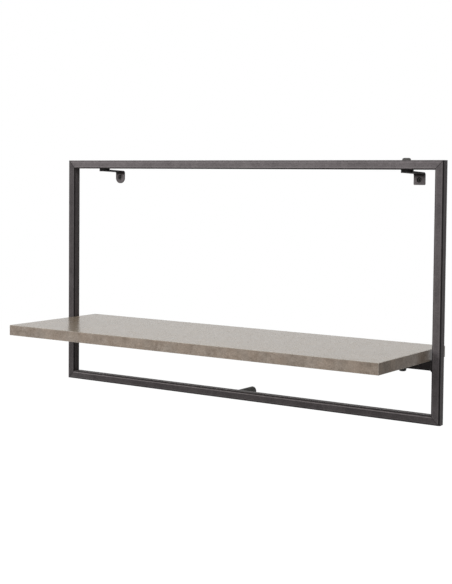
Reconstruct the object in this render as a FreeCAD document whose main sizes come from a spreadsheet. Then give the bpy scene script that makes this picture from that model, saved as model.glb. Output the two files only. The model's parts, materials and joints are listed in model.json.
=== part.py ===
import FreeCAD, Part
import os
import re

import Sketcher

# Wall shelf: a laminate board through a mitred frame of square steel tube, which hangs on two
# angle brackets and stands off the wall on them and on a spacer behind its bottom rail.
# Millimetres, +X to the right, +Y into the wall, +Z up. The origin is on the wall plane, half
# way between the two wall holes.

DRIVING_SIZES = {
    # frame
    "frame_width": 768,
    "frame_height": 412,
    "tube_size": 15,
    "tube_wall": 1.2,
    "tube_corner": 1.8,
    "tube_inner_corner": 0.6,
    "wall_gap": 42,
    "mitre_weld_width": 1.2,
    # support rail and board
    "board_level": 118,
    "board_depth": 228,
    "board_thickness": 18,
    "board_end_gap": 3,
    "board_wall_gap": 0.5,
    "laminate": 0.8,
    "edge_band": 1.0,
    "band_corner": 0.6,
    # board fastenings
    "board_bolt_count": 4,
    "board_bolt_inset": 68,
    "bolt_shank": 6,
    "bolt_hole": 6.6,
    "board_bolt_engagement": 8.4,
    "board_bolt_head": 12,
    "board_bolt_head_depth": 4.4,
    "board_bolt_head_round": 2.6,
    "washer_outer": 13.5,
    "washer_thickness": 1.6,
    "insert_outer": 8.5,
    "insert_length": 12,
    "insert_clearance": 1,
    "thread_clearance": 0.05,
    "hex_socket": 4,
    "hex_socket_depth": 2.4,
    # wall brackets
    "bracket_width": 20,
    "bracket_thickness": 3,
    "bracket_bend": 1.5,
    "bracket_nose_round": 8,
    "strip_fall": 1.5,
    "left_bracket_inset": 80,
    "right_bracket_inset": 67,
    "left_tab_end": 11.3,
    "right_tab_end": 8.3,
    "right_tab_round": 1.6,
    "round_end_flat": 0.2,
    "packing_thickness": 2,
    "packing_margin": 2,
    "wall_hole_drop": 30.5,
    "wall_hole": 5,
    "wall_hole_sink": 8.6,
    # top rail fastenings
    "dome_head": 14,
    "dome_head_depth": 3.6,
    "dome_head_round": 3.2,
    "flush_head": 11,
    # spacer behind the bottom rail
    "spacer_diameter": 15,
    "spacer_rim_round": 1,
    "spacer_bore": 5.4,
    "spacer_head_bore": 10.5,
    "spacer_head_bore_depth": 8,
    "spacer_screw": 4.8,
    "spacer_screw_reach": 9,
    "spacer_screw_head": 9,
    "spacer_screw_head_depth": 3,
    "spacer_screw_head_round": 1.6,
    # fillet welds
    "rail_weld_leg": 2.4,
    # how far a cutting outline goes past the piece that it cuts
    "cut_overlap": 1,
}

# Places worked out from the driving sizes, written as expressions
FRAME_LEFT = "-(frame_width + left_bracket_inset - right_bracket_inset) / 2"
FRAME_RIGHT = "(frame_width - left_bracket_inset + right_bracket_inset) / 2"
FRAME_TOP = "wall_hole_drop"
FRAME_BOTTOM = "wall_hole_drop - frame_height"
FRAME_BACK = "-wall_gap"
FRAME_FRONT = "-(wall_gap + tube_size)"
TUBE_MIDDLE = "-(wall_gap + tube_size / 2)"
BOARD_TOP = "wall_hole_drop - frame_height + board_level"
BOARD_BOTTOM = f"{BOARD_TOP} - board_thickness"
BOARD_LENGTH = "frame_width - 2 * (tube_size + board_end_gap)"
BOARD_LEFT = f"{FRAME_LEFT} + tube_size + board_end_gap"
BOARD_REAR = "-board_wall_gap"
BOARD_FRONT = "-(board_wall_gap + board_depth)"
RAIL_LENGTH = "frame_width - 2 * tube_size"
RAIL_LEFT = f"{FRAME_LEFT} + tube_size"
RAIL_BOTTOM = f"{BOARD_BOTTOM} - tube_size"
CORE_THICKNESS = "board_thickness - 2 * laminate"
LEFT_BRACKET_X = f"{FRAME_LEFT} + left_bracket_inset"
RIGHT_BRACKET_X = f"{FRAME_RIGHT} - right_bracket_inset"
STRIP_TOP = "wall_hole_drop - tube_size - packing_thickness"
SPACER_X = f"{FRAME_LEFT} + frame_width / 2"
SPACER_HEIGHT = f"{FRAME_BOTTOM} + tube_size / 2"

# Depth of a cut that goes right through any tube
THROUGH = "4 * tube_size"

# Two places in a piece are the same if they lie within this many millimetres
SAME_PLACE = 1e-4

doc = FreeCAD.newDocument("wall_shelf")
sheet = doc.addObject("Spreadsheet::Sheet", "Sizes")
for row, (alias, size) in enumerate(DRIVING_SIZES.items(), start=1):
    sheet.set(f"A{row}", alias)
    sheet.set(f"B{row}", str(size))
    sheet.setAlias(f"B{row}", alias)
doc.recompute()

ALIAS = re.compile(r"\b(" + "|".join(DRIVING_SIZES) + r")\b")


def value(text):
    """The number that an expression of driving sizes comes to."""
    return float(sheet.evalExpression(text))


def bind(thing, path, text):
    """Tie one property of an object to the driving sizes."""
    thing.setExpression(path, ALIAS.sub(r"Sizes.\1", text))


def place(thing, x, y, z, axis=(0, 0, 1), angle=0):
    """Turn a finished piece and put its own origin at x, y, z."""
    turn = FreeCAD.Rotation(FreeCAD.Vector(*axis), angle)
    thing.Placement = FreeCAD.Placement(FreeCAD.Vector(value(x), value(y), value(z)), turn)
    for direction, text in zip("xyz", (x, y, z)):
        bind(thing, f"Placement.Base.{direction}", text)


def new_body(label):
    body = doc.addObject("PartDesign::Body", label)
    body.Label = label
    return body


def new_sketch(body, plane, offset=None):
    """A sketch on one of the body's own origin planes, moved along its normal by offset."""
    sketch = body.newObject("Sketcher::SketchObject", "outline")
    support = next(item for item in body.Origin.OriginFeatures if item.Role == plane)
    sketch.AttachmentSupport = [(support, "")]
    sketch.MapMode = "FlatFace"
    if offset:
        bind(sketch, "AttachmentOffset.Base.z", offset)
    return sketch


def fix_point(sketch, line, end, across, up):
    """Hold one end of a line at its distances from the sketch's origin."""
    for kind, text, name in (("DistanceX", across, "across"), ("DistanceY", up, "up")):
        number = sketch.addConstraint(
            Sketcher.Constraint(kind, -1, 1, line, end, value(text)))
        sketch.renameConstraint(number, f"{name}_{line}_{end}")
        bind(sketch, f".Constraints.{name}_{line}_{end}", text)


def draw_outline(sketch, corners):
    """A closed outline of straight lines, each corner given by two expressions."""
    points = [FreeCAD.Vector(value(across), value(up), 0) for across, up in corners]
    lines = []
    for start, end in zip(points, points[1:] + points[:1]):
        lines.append(sketch.addGeometry(Part.LineSegment(start, end), False))
    for line, following in zip(lines, lines[1:] + lines[:1]):
        sketch.addConstraint(Sketcher.Constraint("Coincident", line, 2, following, 1))
    for line, (across, up) in zip(lines, corners):
        fix_point(sketch, line, 1, across, up)


def draw_rectangle(sketch, left, right, bottom, top):
    draw_outline(sketch, [(left, bottom), (right, bottom), (right, top), (left, top)])


def draw_circle(sketch, across, up, diameter):
    centre = FreeCAD.Vector(value(across), value(up), 0)
    circle = sketch.addGeometry(
        Part.Circle(centre, FreeCAD.Vector(0, 0, 1), value(diameter) / 2), False)
    number = sketch.addConstraint(Sketcher.Constraint("Diameter", circle, value(diameter)))
    sketch.renameConstraint(number, f"diameter_{circle}")
    bind(sketch, f".Constraints.diameter_{circle}", diameter)
    fix_point(sketch, circle, 3, across, up)


def draw_hexagon(sketch, flats):
    """A hexagon about the origin, of a given width across its flats, two flats lying level."""
    half_flats = f"({flats}) / 2"
    half_side = f"({flats}) / 2 / sqrt(3)"
    corners = [(1, -1), (2, 0), (1, 1), (-1, 1), (-2, 0), (-1, -1)]
    draw_outline(sketch, [(f"{across} * {half_side}", f"{up} * {half_flats}")
                          for across, up in corners])


def add_pad(body, sketch, length, symmetric=False, reverse=False):
    pad = body.newObject("PartDesign::Pad", "pad")
    pad.Profile = sketch
    pad.SideType = "Symmetric" if symmetric else "One side"
    pad.Reversed = reverse
    bind(pad, "Length", length)
    doc.recompute()
    return pad


def add_pocket(body, sketch, depth, symmetric=False, reverse=False):
    """Cut a sketch straight into the body."""
    before = body.Shape.Volume
    pocket = body.newObject("PartDesign::Pocket", "pocket")
    pocket.Profile = sketch
    pocket.SideType = "Symmetric" if symmetric else "One side"
    pocket.Reversed = reverse
    bind(pocket, "Length", depth)
    doc.recompute()
    check_cut(body, before)


def turn(body, kind, sketch, axis):
    """Turn a half outline right round an axis of its sketch, as a Revolution or a Groove."""
    turned = body.newObject(f"PartDesign::{kind}", "turned")
    turned.Profile = sketch
    turned.ReferenceAxis = (sketch, [axis])
    turned.Angle = 360
    doc.recompute()


def add_round_cut(body, sketch, axis):
    """Cut a half outline into the body, turned about an axis of its sketch."""
    before = body.Shape.Volume
    turn(body, "Groove", sketch, axis)
    check_cut(body, before)


def check_cut(body, before):
    """Make sure that a cut took something away from the volume before it."""
    if body.Shape.Volume >= before:
        raise ValueError(f"a cut in {body.Label} takes nothing away")


def edge_names(shape, wanted):
    """The names of a shape's edges whose middle point and direction pass a test."""
    names = []
    for number, edge in enumerate(shape.Edges, start=1):
        if edge.Length and wanted(edge):
            names.append(f"Edge{number}")
    return names


def runs_along(edge, axis):
    """Whether a straight edge runs along the X, Y or Z axis, given as 0, 1 or 2."""
    if not isinstance(edge.Curve, (Part.Line, Part.LineSegment)):
        return False
    step = edge.Vertexes[-1].Point - edge.Vertexes[0].Point
    return abs(abs(step[axis]) - edge.Length) < SAME_PLACE


def is_at(edge, **places):
    """Whether the edge's middle lies at the given x, y and z, each an expression."""
    middle = edge.CenterOfMass
    return all(abs(getattr(middle, name) - value(text)) < SAME_PLACE
               for name, text in places.items())


def add_fillet(body, names, radius):
    base = body.Tip
    fillet = body.newObject("PartDesign::Fillet", "fillet")
    fillet.Base = (base, names)
    bind(fillet, "Radius", radius)
    doc.recompute()
    return fillet


def group(label, members):
    """Several like pieces kept together as one node of separate solids."""
    compound = doc.addObject("Part::Compound", label)
    compound.Label = label
    compound.Links = members
    return compound


# Square tube

ABOVE_TUBE = "tube_size + cut_overlap"
BELOW_TUBE = "-cut_overlap"


def square_tube(label, length):
    """A hollow square tube along X from 0 to length, between 0 and tube_size in Y and Z."""
    body = new_body(label)
    profile = new_sketch(body, "YZ_Plane")
    draw_rectangle(profile, "0", "tube_size", "0", "tube_size")
    draw_rectangle(profile, "tube_wall", "tube_size - tube_wall",
                   "tube_wall", "tube_size - tube_wall")
    add_pad(body, profile, length)
    for depth, radius in (("0", "tube_corner"), ("tube_wall", "tube_inner_corner")):
        sides = (depth, f"tube_size - {depth}")

        def long_corner(edge):
            return runs_along(edge, 0) and any(
                is_at(edge, y=y, z=z) for y in sides for z in sides)

        add_fillet(body, edge_names(body.Tip.Shape, long_corner), radius)
    return body


def cut_mitres(body, length, gap):
    """Cut both ends at 45 degrees, so that the full length is on the upper face.

    The tube ends gap short of the true mitre plane, measured along it.
    """
    for end, side in (("0", "1"), (length, "-1")):
        beyond = f"{end} - {side} * 2 * cut_overlap"
        sketch = new_sketch(body, "XZ_Plane")
        draw_outline(sketch, [
            (f"{end} + {side} * ({gap} - cut_overlap)", ABOVE_TUBE),
            (beyond, ABOVE_TUBE),
            (beyond, BELOW_TUBE),
            (f"{end} + {side} * (tube_size + {gap} + cut_overlap)", BELOW_TUBE),
        ])
        add_pocket(body, sketch, THROUGH, symmetric=True)


# Frame tubes: the rails stop one weld width short of the mitre, the uprights reach it
WELD_RUN = "mitre_weld_width * sqrt(2)"

top_rail = square_tube("top_rail", "frame_width")
cut_mitres(top_rail, "frame_width", WELD_RUN)
bracket_holes = new_sketch(top_rail, "XY_Plane")
draw_circle(bracket_holes, "left_bracket_inset", "tube_size / 2", "bolt_hole")
draw_circle(bracket_holes, "frame_width - right_bracket_inset", "tube_size / 2", "bolt_hole")
add_pocket(top_rail, bracket_holes, THROUGH, symmetric=True)
screw_seat = new_sketch(top_rail, "XZ_Plane", "-tube_size / 2")
bind(screw_seat, "AttachmentOffset.Base.x", "left_bracket_inset")
draw_outline(screw_seat, [
    ("0", "tube_size"), ("flush_head / 2", "tube_size"),
    ("bolt_shank / 2", "tube_size - (flush_head - bolt_shank) / 2"),
    ("0", "tube_size - (flush_head - bolt_shank) / 2"),
])
add_round_cut(top_rail, screw_seat, "V_Axis")
place(top_rail, FRAME_LEFT, FRAME_FRONT, "wall_hole_drop - tube_size")

bottom_rail = square_tube("bottom_rail", "frame_width")
cut_mitres(bottom_rail, "frame_width", WELD_RUN)
spacer_hole = new_sketch(bottom_rail, "XZ_Plane")
draw_circle(spacer_hole, "frame_width / 2", "tube_size / 2", "spacer_screw")
add_pocket(bottom_rail, spacer_hole, "2 * tube_wall")
place(bottom_rail, FRAME_LEFT, FRAME_BACK, f"{FRAME_BOTTOM} + tube_size", (1, 0, 0), 180)

left_upright = square_tube("left_upright", "frame_height")
cut_mitres(left_upright, "frame_height", "0")
place(left_upright, f"{FRAME_LEFT} + tube_size", FRAME_FRONT, FRAME_BOTTOM, (0, 1, 0), -90)

right_upright = square_tube("right_upright", "frame_height")
cut_mitres(right_upright, "frame_height", "0")
place(right_upright, f"{FRAME_RIGHT} - tube_size", FRAME_FRONT, FRAME_TOP, (0, 1, 0), 90)


# Corner welds: a slice of the tube's own section that fills the seam at each mitre

def corner_weld(label):
    """The slice at a rail's start, from the mitre plane to where the rail itself begins."""
    body = square_tube(label, f"tube_size + 2 * ({WELD_RUN})")
    far_end = "3 * tube_size"
    beyond = "-2 * cut_overlap"
    past_mitre = [(beyond, ABOVE_TUBE), ("-cut_overlap", ABOVE_TUBE),
                  ("tube_size + cut_overlap", BELOW_TUBE), (beyond, BELOW_TUBE)]
    rail_side = [(f"{WELD_RUN} - cut_overlap", ABOVE_TUBE), (far_end, ABOVE_TUBE),
                 (far_end, BELOW_TUBE), (f"{WELD_RUN} + tube_size + cut_overlap", BELOW_TUBE)]
    for corners in (past_mitre, rail_side):
        sketch = new_sketch(body, "XZ_Plane")
        draw_outline(sketch, corners)
        add_pocket(body, sketch, THROUGH, symmetric=True)
    return body


def place_corner_welds():
    """One weld at each corner of the frame, the same slice turned about another axis."""
    welds = []
    top = "wall_hole_drop - tube_size"
    bottom = f"{FRAME_BOTTOM} + tube_size"
    corners = (
        ("weld_top_left", FRAME_LEFT, FRAME_FRONT, top, (0, 0, 1), 0),
        ("weld_top_right", FRAME_RIGHT, FRAME_BACK, top, (0, 0, 1), 180),
        ("weld_bottom_left", FRAME_LEFT, FRAME_BACK, bottom, (1, 0, 0), 180),
        ("weld_bottom_right", FRAME_RIGHT, FRAME_FRONT, bottom, (0, 1, 0), 180),
    )
    for name, x, y, z, axis, angle in corners:
        weld = corner_weld(name)
        place(weld, x, y, z, axis, angle)
        welds.append(weld)
    return group("corner_welds", welds)


corner_welds = place_corner_welds()


# Shelf support rail, butted between the uprights, with a through hole for each board bolt

def board_bolt_places():
    """The bolts' distances from the frame's left face, evenly spaced between the end ones."""
    count = int(value("board_bolt_count"))
    span = "frame_width - 2 * board_bolt_inset"
    return [f"board_bolt_inset + {number} * ({span}) / {count - 1}" for number in range(count)]


support_rail = square_tube("shelf_support_rail", RAIL_LENGTH)
rail_holes = new_sketch(support_rail, "XY_Plane")
for place_along in board_bolt_places():
    draw_circle(rail_holes, f"{place_along} - tube_size", "tube_size / 2", "bolt_hole")
add_pocket(support_rail, rail_holes, THROUGH, symmetric=True)
place(support_rail, RAIL_LEFT, FRAME_FRONT, RAIL_BOTTOM)


def rail_end_weld(name, x, side):
    """A fillet bead in the corner under the rail, across the flat of the upright's inner face."""
    body = new_body(name)
    section = new_sketch(body, "XZ_Plane")
    draw_outline(section, [("0", "0"), (f"{side} * rail_weld_leg", "0"), ("0", "-rail_weld_leg")])
    add_pad(body, section, "tube_size - 2 * tube_corner", symmetric=True)
    place(body, x, TUBE_MIDDLE, RAIL_BOTTOM)
    return body


support_rail_welds = group("support_rail_welds", [
    rail_end_weld("weld_rail_left", RAIL_LEFT, "1"),
    rail_end_weld("weld_rail_right", f"{FRAME_RIGHT} - tube_size", "-1"),
])


# Shelf board: a core faced above and below, with a band on each of its four edges

def slab(label, length, depth, thickness):
    """A flat slab from its own origin, length along X, depth along Y, thickness along Z."""
    body = new_body(label)
    outline = new_sketch(body, "XY_Plane")
    draw_rectangle(outline, "0", length, "0", depth)
    add_pad(body, outline, thickness)
    return body


CORE_LENGTH = f"{BOARD_LENGTH} - 2 * edge_band"
CORE_DEPTH = "board_depth - 2 * edge_band"
CORE_LEFT = f"{BOARD_LEFT} + edge_band"
CORE_FRONT = f"{BOARD_FRONT} + edge_band"


def drill_board(body, depth):
    """Holes for the threaded inserts, from the piece's underside up."""
    holes = new_sketch(body, "XY_Plane")
    for place_along in board_bolt_places():
        draw_circle(holes, f"{place_along} - tube_size - board_end_gap - edge_band",
                    f"({TUBE_MIDDLE}) - ({CORE_FRONT})", "insert_outer")
    add_pocket(body, holes, depth, reverse=True)


board_core = slab("board_core", CORE_LENGTH, CORE_DEPTH, CORE_THICKNESS)
drill_board(board_core, "insert_length + insert_clearance - laminate")
place(board_core, CORE_LEFT, CORE_FRONT, f"{BOARD_BOTTOM} + laminate")

board_top_laminate = slab("board_top_laminate", CORE_LENGTH, CORE_DEPTH, "laminate")
place(board_top_laminate, CORE_LEFT, CORE_FRONT, f"{BOARD_TOP} - laminate")

board_bottom_laminate = slab("board_bottom_laminate", CORE_LENGTH, CORE_DEPTH, "laminate")
drill_board(board_bottom_laminate, "2 * laminate")
place(board_bottom_laminate, CORE_LEFT, CORE_FRONT, BOARD_BOTTOM)


def edge_band(label, length, depth, x, y, along, outer_face):
    """A band of the board's full thickness, the two long corners of its outer face rounded.

    along is 0 for a band along X and 1 for one along Y.
    """
    body = slab(label, length, depth, "board_thickness")

    def outer(edge):
        return runs_along(edge, along) and is_at(edge, **outer_face)

    add_fillet(body, edge_names(body.Tip.Shape, outer), "band_corner")
    place(body, x, y, BOARD_BOTTOM)
    return body


board_front_band = edge_band("board_front_edge_band", BOARD_LENGTH, "edge_band",
                             BOARD_LEFT, BOARD_FRONT, 0, {"y": "0"})
board_rear_band = edge_band("board_rear_edge_band", BOARD_LENGTH, "edge_band",
                            BOARD_LEFT, f"{BOARD_REAR} - edge_band", 0, {"y": "edge_band"})
board_left_band = edge_band("board_left_edge_band", "edge_band", CORE_DEPTH,
                            BOARD_LEFT, CORE_FRONT, 1, {"x": "0"})
board_right_band = edge_band("board_right_edge_band", "edge_band", CORE_DEPTH,
                             f"{BOARD_LEFT} + {BOARD_LENGTH} - edge_band", CORE_FRONT, 1,
                             {"x": "edge_band"})


# Fasteners, each turned about Z with the underside of its head at its own origin

def disc(body, diameter, height, reverse=False, offset=None):
    outline = new_sketch(body, "XY_Plane", offset)
    draw_circle(outline, "0", "0", diameter)
    return add_pad(body, outline, height, reverse=reverse)


def round_head_bolt(name, head, head_depth, head_round, length, shank="bolt_shank"):
    """A bolt hanging from its head: the head above the origin, the shank below it."""
    body = new_body(name)
    disc(body, head, head_depth)

    def rim(edge):
        return isinstance(edge.Curve, Part.Circle) and edge.CenterOfMass.z > value(head_depth) / 2

    add_fillet(body, edge_names(body.Tip.Shape, rim), head_round)
    disc(body, f"{shank} - 2 * thread_clearance", length, reverse=True)
    socket = new_sketch(body, "XY_Plane", head_depth)
    draw_hexagon(socket, "hex_socket")
    add_pocket(body, socket, "hex_socket_depth")
    return body


# Both top rail fastenings end flush with the underside of their bracket's strip
TOP_GRIP = "tube_size + packing_thickness + bracket_thickness"

right_bolt = round_head_bolt("right_bracket_bolt", "dome_head", "dome_head_depth",
                             "dome_head_round", TOP_GRIP)
place(right_bolt, RIGHT_BRACKET_X, TUBE_MIDDLE, FRAME_TOP)


def flush_screw(name, length):
    """A countersunk screw, its head's flat top at the origin and the rest below."""
    body = new_body(name)
    half = new_sketch(body, "XZ_Plane")
    shank = "bolt_shank / 2 - thread_clearance"
    head = "flush_head / 2 - thread_clearance"
    draw_outline(half, [("0", "0"), (head, "0"),
                        (shank, f"-(({head}) - ({shank}))"),
                        (shank, f"-({length})"), ("0", f"-({length})")])
    turn(body, "Revolution", half, "V_Axis")
    socket = new_sketch(body, "XY_Plane")
    draw_hexagon(socket, "hex_socket")
    add_pocket(body, socket, "hex_socket_depth")
    return body


left_screw = flush_screw("left_bracket_screw", TOP_GRIP)
place(left_screw, LEFT_BRACKET_X, TUBE_MIDDLE, FRAME_TOP)


def ring(name, outer, inner, thickness):
    body = new_body(name)
    outline = new_sketch(body, "XY_Plane")
    draw_circle(outline, "0", "0", outer)
    draw_circle(outline, "0", "0", inner)
    add_pad(body, outline, thickness)
    return body


# The board bolts go up through washer and rail and a set way into the inserts
BOARD_BOLT_LENGTH = "washer_thickness + tube_size + board_bolt_engagement"

bolts = []
washers = []
inserts = []
for number, place_along in enumerate(board_bolt_places(), start=1):
    x = f"{FRAME_LEFT} + {place_along}"
    bolt = round_head_bolt(f"board_bolt_{number}", "board_bolt_head", "board_bolt_head_depth",
                           "board_bolt_head_round", BOARD_BOLT_LENGTH)
    place(bolt, x, TUBE_MIDDLE, f"{RAIL_BOTTOM} - washer_thickness", (1, 0, 0), 180)
    bolts.append(bolt)
    washer = ring(f"board_washer_{number}", "washer_outer", "bolt_hole", "washer_thickness")
    place(washer, x, TUBE_MIDDLE, f"{RAIL_BOTTOM} - washer_thickness")
    washers.append(washer)
    insert = ring(f"board_insert_{number}", "insert_outer", "bolt_shank", "insert_length")
    place(insert, x, TUBE_MIDDLE, BOARD_BOTTOM)
    inserts.append(insert)
board_bolts = group("board_bolts", bolts)
board_washers = group("board_bolt_washers", washers)
board_inserts = group("board_threaded_inserts", inserts)


# Wall brackets: a strip bolted under the top rail runs back to the wall and bends down there
# into a tab with a wall hole

STRIP_REACH = "wall_gap + tube_size - packing_margin"
HOLE_DROP = "wall_hole_drop - tube_size - packing_thickness"
FULL_ROUND = "(bracket_width - round_end_flat) / 2"


def wall_bracket(label, tab_end, tab_round):
    """A bracket whose own origin is on the wall plane, at mid width, level with the strip's top.

    The strip is level under the rail and falls by strip_fall from there to the wall. tab_end
    is how far the tab goes on below the wall hole.
    """
    tab_bottom = f"-({HOLE_DROP} + {tab_end})"
    inner_corner = "-bracket_thickness - strip_fall * (1 - bracket_thickness / wall_gap)"
    body = new_body(label)
    side = new_sketch(body, "YZ_Plane")
    draw_outline(side, [
        (f"-({STRIP_REACH})", "0"), ("-wall_gap", "0"), ("0", "-strip_fall"),
        ("0", tab_bottom), ("-bracket_thickness", tab_bottom),
        ("-bracket_thickness", inner_corner), ("-wall_gap", "-bracket_thickness"),
        (f"-({STRIP_REACH})", "-bracket_thickness"),
    ])
    add_pad(body, side, "bracket_width", symmetric=True)

    def outer_bend(edge):
        return runs_along(edge, 0) and is_at(edge, y="0", z="-strip_fall")

    def inner_bend(edge):
        return runs_along(edge, 0) and is_at(edge, y="-bracket_thickness", z=inner_corner)

    def tab_corner(edge):
        return runs_along(edge, 1) and is_at(edge, z=tab_bottom)

    def nose_corner(edge):
        return runs_along(edge, 2) and is_at(edge, y=f"-({STRIP_REACH})")

    for wanted, radius in ((outer_bend, "bracket_bend + bracket_thickness"),
                           (inner_bend, "bracket_bend"), (tab_corner, tab_round),
                           (nose_corner, "bracket_nose_round")):
        add_fillet(body, edge_names(body.Tip.Shape, wanted), radius)
    bolt_hole = new_sketch(body, "XY_Plane")
    draw_circle(bolt_hole, "0", TUBE_MIDDLE, "bolt_shank")
    add_pocket(body, bolt_hole, THROUGH, symmetric=True)
    add_wall_hole(body)
    return body


def add_wall_hole(body):
    """A countersunk wall hole in the tab, turned about a line that runs into the wall."""
    sketch = new_sketch(body, "YZ_Plane")
    bind(sketch, "AttachmentOffset.Base.y", f"-({HOLE_DROP})")
    sink = "(wall_hole_sink - wall_hole) / 2"
    draw_outline(sketch, [
        ("0", "0"), ("0", "wall_hole / 2"),
        (f"-bracket_thickness + {sink}", "wall_hole / 2"),
        ("-bracket_thickness", "wall_hole_sink / 2"), ("-bracket_thickness", "0"),
    ])
    add_round_cut(body, sketch, "H_Axis")


left_bracket = wall_bracket("left_wall_bracket", "left_tab_end", FULL_ROUND)
place(left_bracket, LEFT_BRACKET_X, "0", STRIP_TOP)

right_bracket = wall_bracket("right_wall_bracket", "right_tab_end", "right_tab_round")
place(right_bracket, RIGHT_BRACKET_X, "0", STRIP_TOP)


def packing_plate(name, x):
    """A plate as wide as the strip between it and the top rail's underside."""
    body = new_body(name)
    outline = new_sketch(body, "XY_Plane")
    reach = "tube_size / 2 - packing_margin"
    draw_rectangle(outline, "-bracket_width / 2", "bracket_width / 2", f"-({reach})", reach)
    draw_circle(outline, "0", "0", "bolt_hole")
    add_pad(body, outline, "packing_thickness")

    def front_corner(edge):
        return runs_along(edge, 2) and is_at(edge, y=f"-({reach})")

    add_fillet(body, edge_names(body.Tip.Shape, front_corner), "bracket_nose_round")
    place(body, x, TUBE_MIDDLE, STRIP_TOP)
    return body


packing_plates = group("bracket_packing_plates", [
    packing_plate("packing_left", LEFT_BRACKET_X),
    packing_plate("packing_right", RIGHT_BRACKET_X),
])


# Spacer: a round rubber stand-off from the bottom rail's back to the wall, and the tapping
# screw that holds it, its head sunk in the spacer's wall end. Both run along Z from the rail
# and are then turned to point at the wall.

def rubber_spacer(label):
    body = new_body(label)
    half = new_sketch(body, "XZ_Plane")
    rim = "spacer_diameter / 2"
    seat = "wall_gap - spacer_head_bore_depth"
    draw_outline(half, [
        ("spacer_bore / 2", "0"), (rim, "0"), (rim, "wall_gap"),
        ("spacer_head_bore / 2", "wall_gap"), ("spacer_head_bore / 2", seat),
        ("spacer_bore / 2", seat),
    ])
    turn(body, "Revolution", half, "V_Axis")

    def wall_rim(edge):
        return (isinstance(edge.Curve, Part.Circle) and is_at(edge, z="wall_gap")
                and abs(edge.Curve.Radius - value(rim)) < SAME_PLACE)

    add_fillet(body, edge_names(body.Tip.Shape, wall_rim), "spacer_rim_round")
    return body


bottom_spacer = rubber_spacer("bottom_spacer")
place(bottom_spacer, SPACER_X, FRAME_BACK, SPACER_HEIGHT, (1, 0, 0), -90)

spacer_screw = round_head_bolt(
    "bottom_spacer_screw", "spacer_screw_head", "spacer_screw_head_depth",
    "spacer_screw_head_round", "wall_gap - spacer_head_bore_depth + spacer_screw_reach",
    "spacer_screw")
place(spacer_screw, SPACER_X, "-spacer_head_bore_depth", SPACER_HEIGHT, (1, 0, 0), -90)

PIECES = [
    top_rail, bottom_rail, left_upright, right_upright, corner_welds,
    support_rail, support_rail_welds,
    board_core, board_top_laminate, board_bottom_laminate,
    board_front_band, board_rear_band, board_left_band, board_right_band,
    board_bolts, board_washers, board_inserts,
    left_bracket, right_bracket, packing_plates, left_screw, right_bolt,
    bottom_spacer, spacer_screw,
]

doc.recompute()
for item in doc.Objects:
    if "Invalid" in item.State or "Error" in item.State:
        raise ValueError(f"{item.Name} failed: {item.State}")
for piece in PIECES:
    if piece.Shape.isNull() or not piece.Shape.isValid():
        raise ValueError(f"{piece.Label} has no valid shape")

os.makedirs("parts", exist_ok=True)
for piece in PIECES:
    piece.Shape.exportStep(f"parts/{piece.Label}.step")
    print(f"{piece.Label}: {len(piece.Shape.Solids)} solid, {piece.Shape.Volume:.1f} mm3")
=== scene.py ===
import json
import math

import bmesh
import bpy
from bpy.props import FloatProperty, FloatVectorProperty, PointerProperty
from bpy.types import Operator, Panel, PropertyGroup
from mathutils import Matrix, Vector


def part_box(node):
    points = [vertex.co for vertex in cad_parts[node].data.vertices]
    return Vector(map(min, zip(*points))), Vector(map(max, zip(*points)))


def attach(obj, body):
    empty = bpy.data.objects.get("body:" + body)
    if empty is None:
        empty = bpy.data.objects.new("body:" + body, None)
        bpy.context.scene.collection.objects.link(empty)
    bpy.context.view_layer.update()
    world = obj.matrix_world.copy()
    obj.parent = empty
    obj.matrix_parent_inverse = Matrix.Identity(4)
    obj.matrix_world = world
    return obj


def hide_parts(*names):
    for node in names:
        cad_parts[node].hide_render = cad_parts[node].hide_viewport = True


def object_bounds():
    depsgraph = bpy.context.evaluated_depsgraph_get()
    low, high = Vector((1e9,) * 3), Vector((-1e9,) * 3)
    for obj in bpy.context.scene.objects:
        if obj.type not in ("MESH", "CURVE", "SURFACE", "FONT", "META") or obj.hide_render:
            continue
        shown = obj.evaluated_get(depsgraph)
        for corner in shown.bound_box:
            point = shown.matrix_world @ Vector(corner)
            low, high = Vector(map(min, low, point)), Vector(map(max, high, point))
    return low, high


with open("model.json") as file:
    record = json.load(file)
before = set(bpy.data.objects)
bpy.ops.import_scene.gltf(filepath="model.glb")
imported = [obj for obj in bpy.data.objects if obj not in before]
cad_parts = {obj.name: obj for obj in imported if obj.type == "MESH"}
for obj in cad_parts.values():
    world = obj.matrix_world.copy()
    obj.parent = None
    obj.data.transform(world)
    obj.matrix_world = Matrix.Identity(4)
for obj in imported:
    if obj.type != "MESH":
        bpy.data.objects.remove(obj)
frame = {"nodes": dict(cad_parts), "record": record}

bl_info = {
    "name": "Wall Shelf",
    "version": (1, 0, 0),
    "blender": (4, 5, 0),
    "location": "View3D > Sidebar > Wall Shelf",
    "description": "Finishes and fine detail for a laminate board shelf in a steel tube frame",
    "category": "Object",
}

CAD_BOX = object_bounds()
NODES = frame["nodes"]

WALL_BRACKETS = ("left_wall_bracket", "right_wall_bracket")
EDGE_BANDS = ("board_front_edge_band", "board_rear_edge_band",
              "board_left_edge_band", "board_right_edge_band")

# The board's outer corners, from the boxes of its edge bands
FRONT_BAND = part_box("board_front_edge_band")
REAR_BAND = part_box("board_rear_edge_band")
BOARD_LOW = FRONT_BAND[0]
BOARD_HIGH = Vector((FRONT_BAND[1].x, REAR_BAND[1].y, FRONT_BAND[1].z))


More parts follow.
